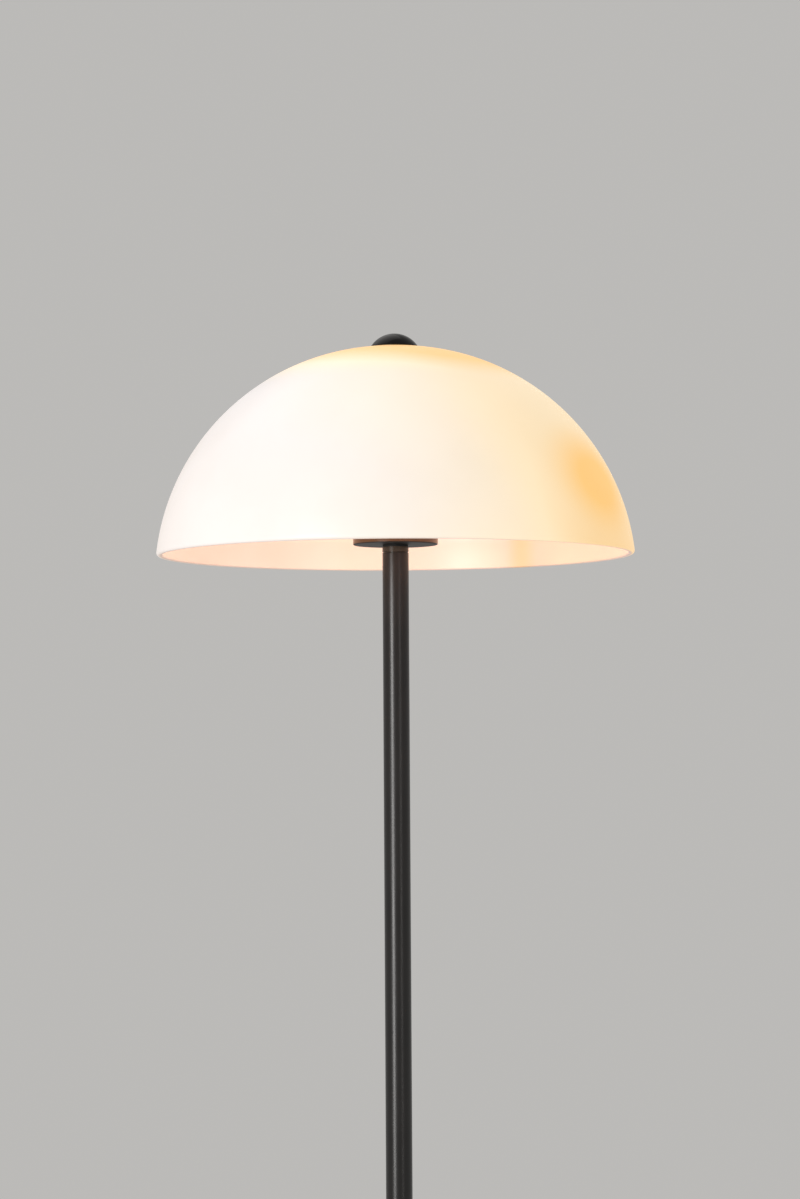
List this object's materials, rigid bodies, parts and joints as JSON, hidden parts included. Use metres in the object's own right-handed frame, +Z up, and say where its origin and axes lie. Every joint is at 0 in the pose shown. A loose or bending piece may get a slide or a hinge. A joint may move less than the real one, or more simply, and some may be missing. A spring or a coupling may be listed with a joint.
{
  "type": "floor lamp",
  "caption": "Floor lamp: weighted round foot, slim tube pole, and an opal glass dome hung from a harp over a screw-in globe bulb, held by a domed screw knob.",
  "frame": {"origin": "middle of the foot's underside, on the floor", "axes": "+Z up along the pole, +Y to the back, where the cord inlet is, +X to the right from the front"},
  "size_m": [0.3994, 0.3992, 1.5],
  "materials": {
    "black_coat": "satin",
    "cast_iron": "as cast",
    "zinc_steel": "zinc plated",
    "brass": "bright",
    "cap_nickel": "nickel plated",
    "black_rubber": "matte",
    "clear_silicone": "translucent",
    "black_nylon": "moulded",
    "white_nylon": "moulded",
    "lead_jacket": "extruded",
    "ceramic": "unglazed",
    "black_vitrite": "glossy",
    "opal_glass": "opal, glossy",
    "bulb_glass": "opal, frosted"
  },
  "bodies": {
    "stand": {"base_cover": "black_coat", "pole_lower": "black_coat", "pole_upper": "black_coat", "pole_foot_plug": "black_coat", "pole_top_plug": "black_coat", "shade_pan": "black_coat", "shade_seat": "black_coat", "harp": "black_coat", "harp_saddle": "black_coat", "base_weight": "cast_iron", "base_washer": "zinc_steel", "base_nut": "zinc_steel", "base_nipple": "zinc_steel", "joint_nipple": "zinc_steel", "lower_joint_plug": "zinc_steel", "upper_joint_plug": "zinc_steel", "top_nipple": "zinc_steel", "top_washer": "zinc_steel", "top_nut": "zinc_steel", "harp_sleeves": "zinc_steel", "harp_stud": "zinc_steel", "cord_clamp_screws": "zinc_steel", "screw_shell": "brass", "terminal_screws": "brass", "lampholder_contacts": "brass", "base_pad": "black_rubber", "spacer_ring": "black_rubber", "seat_gasket": "clear_silicone", "cable_gland": "black_nylon", "cord_clamp": "black_nylon", "lampholder_cap": "black_nylon", "lampholder_skirt": "black_nylon", "terminal_block": "white_nylon", "internal_lead": "lead_jacket", "lampholder_core": "ceramic"},
    "shade_glass": {"shade": "opal_glass", "shade_bush": "white_nylon"},
    "knob_washer": {"finial_washer": "clear_silicone"},
    "knob": {"finial_insert": "brass", "finial_knob": "black_coat"},
    "bulb": {"bulb_globe": "bulb_glass", "bulb_cap": "cap_nickel", "bulb_insulator": "black_vitrite", "bulb_contact": "brass"}
  },
  "joints": [
    {"name": "shade_lift", "type": "slide", "parent": "stand", "child": "shade_glass", "axis": [0, 0, 1], "range_m": [0, 0.2]},
    {"name": "knob_rise", "type": "slide", "parent": "shade_glass", "child": "knob_washer", "axis": [0, 0, 1], "range_m": [0, 0.008]},
    {"name": "knob_turn", "type": "hinge", "parent": "knob_washer", "child": "knob", "pos_m": [0, 0, 1.489], "axis": [0, 0, 1], "range_deg": [0, 2880]},
    {"name": "bulb_turn", "type": "hinge", "parent": "stand", "child": "bulb", "pos_m": [0, 0, 1.36], "axis": [0, 0, 1], "range_deg": [0, 1080]}
  ],
  "couplings": [
    {"joint": "knob_rise", "follows": "knob_turn", "m_per_rad": 0.00015915}
  ]
}
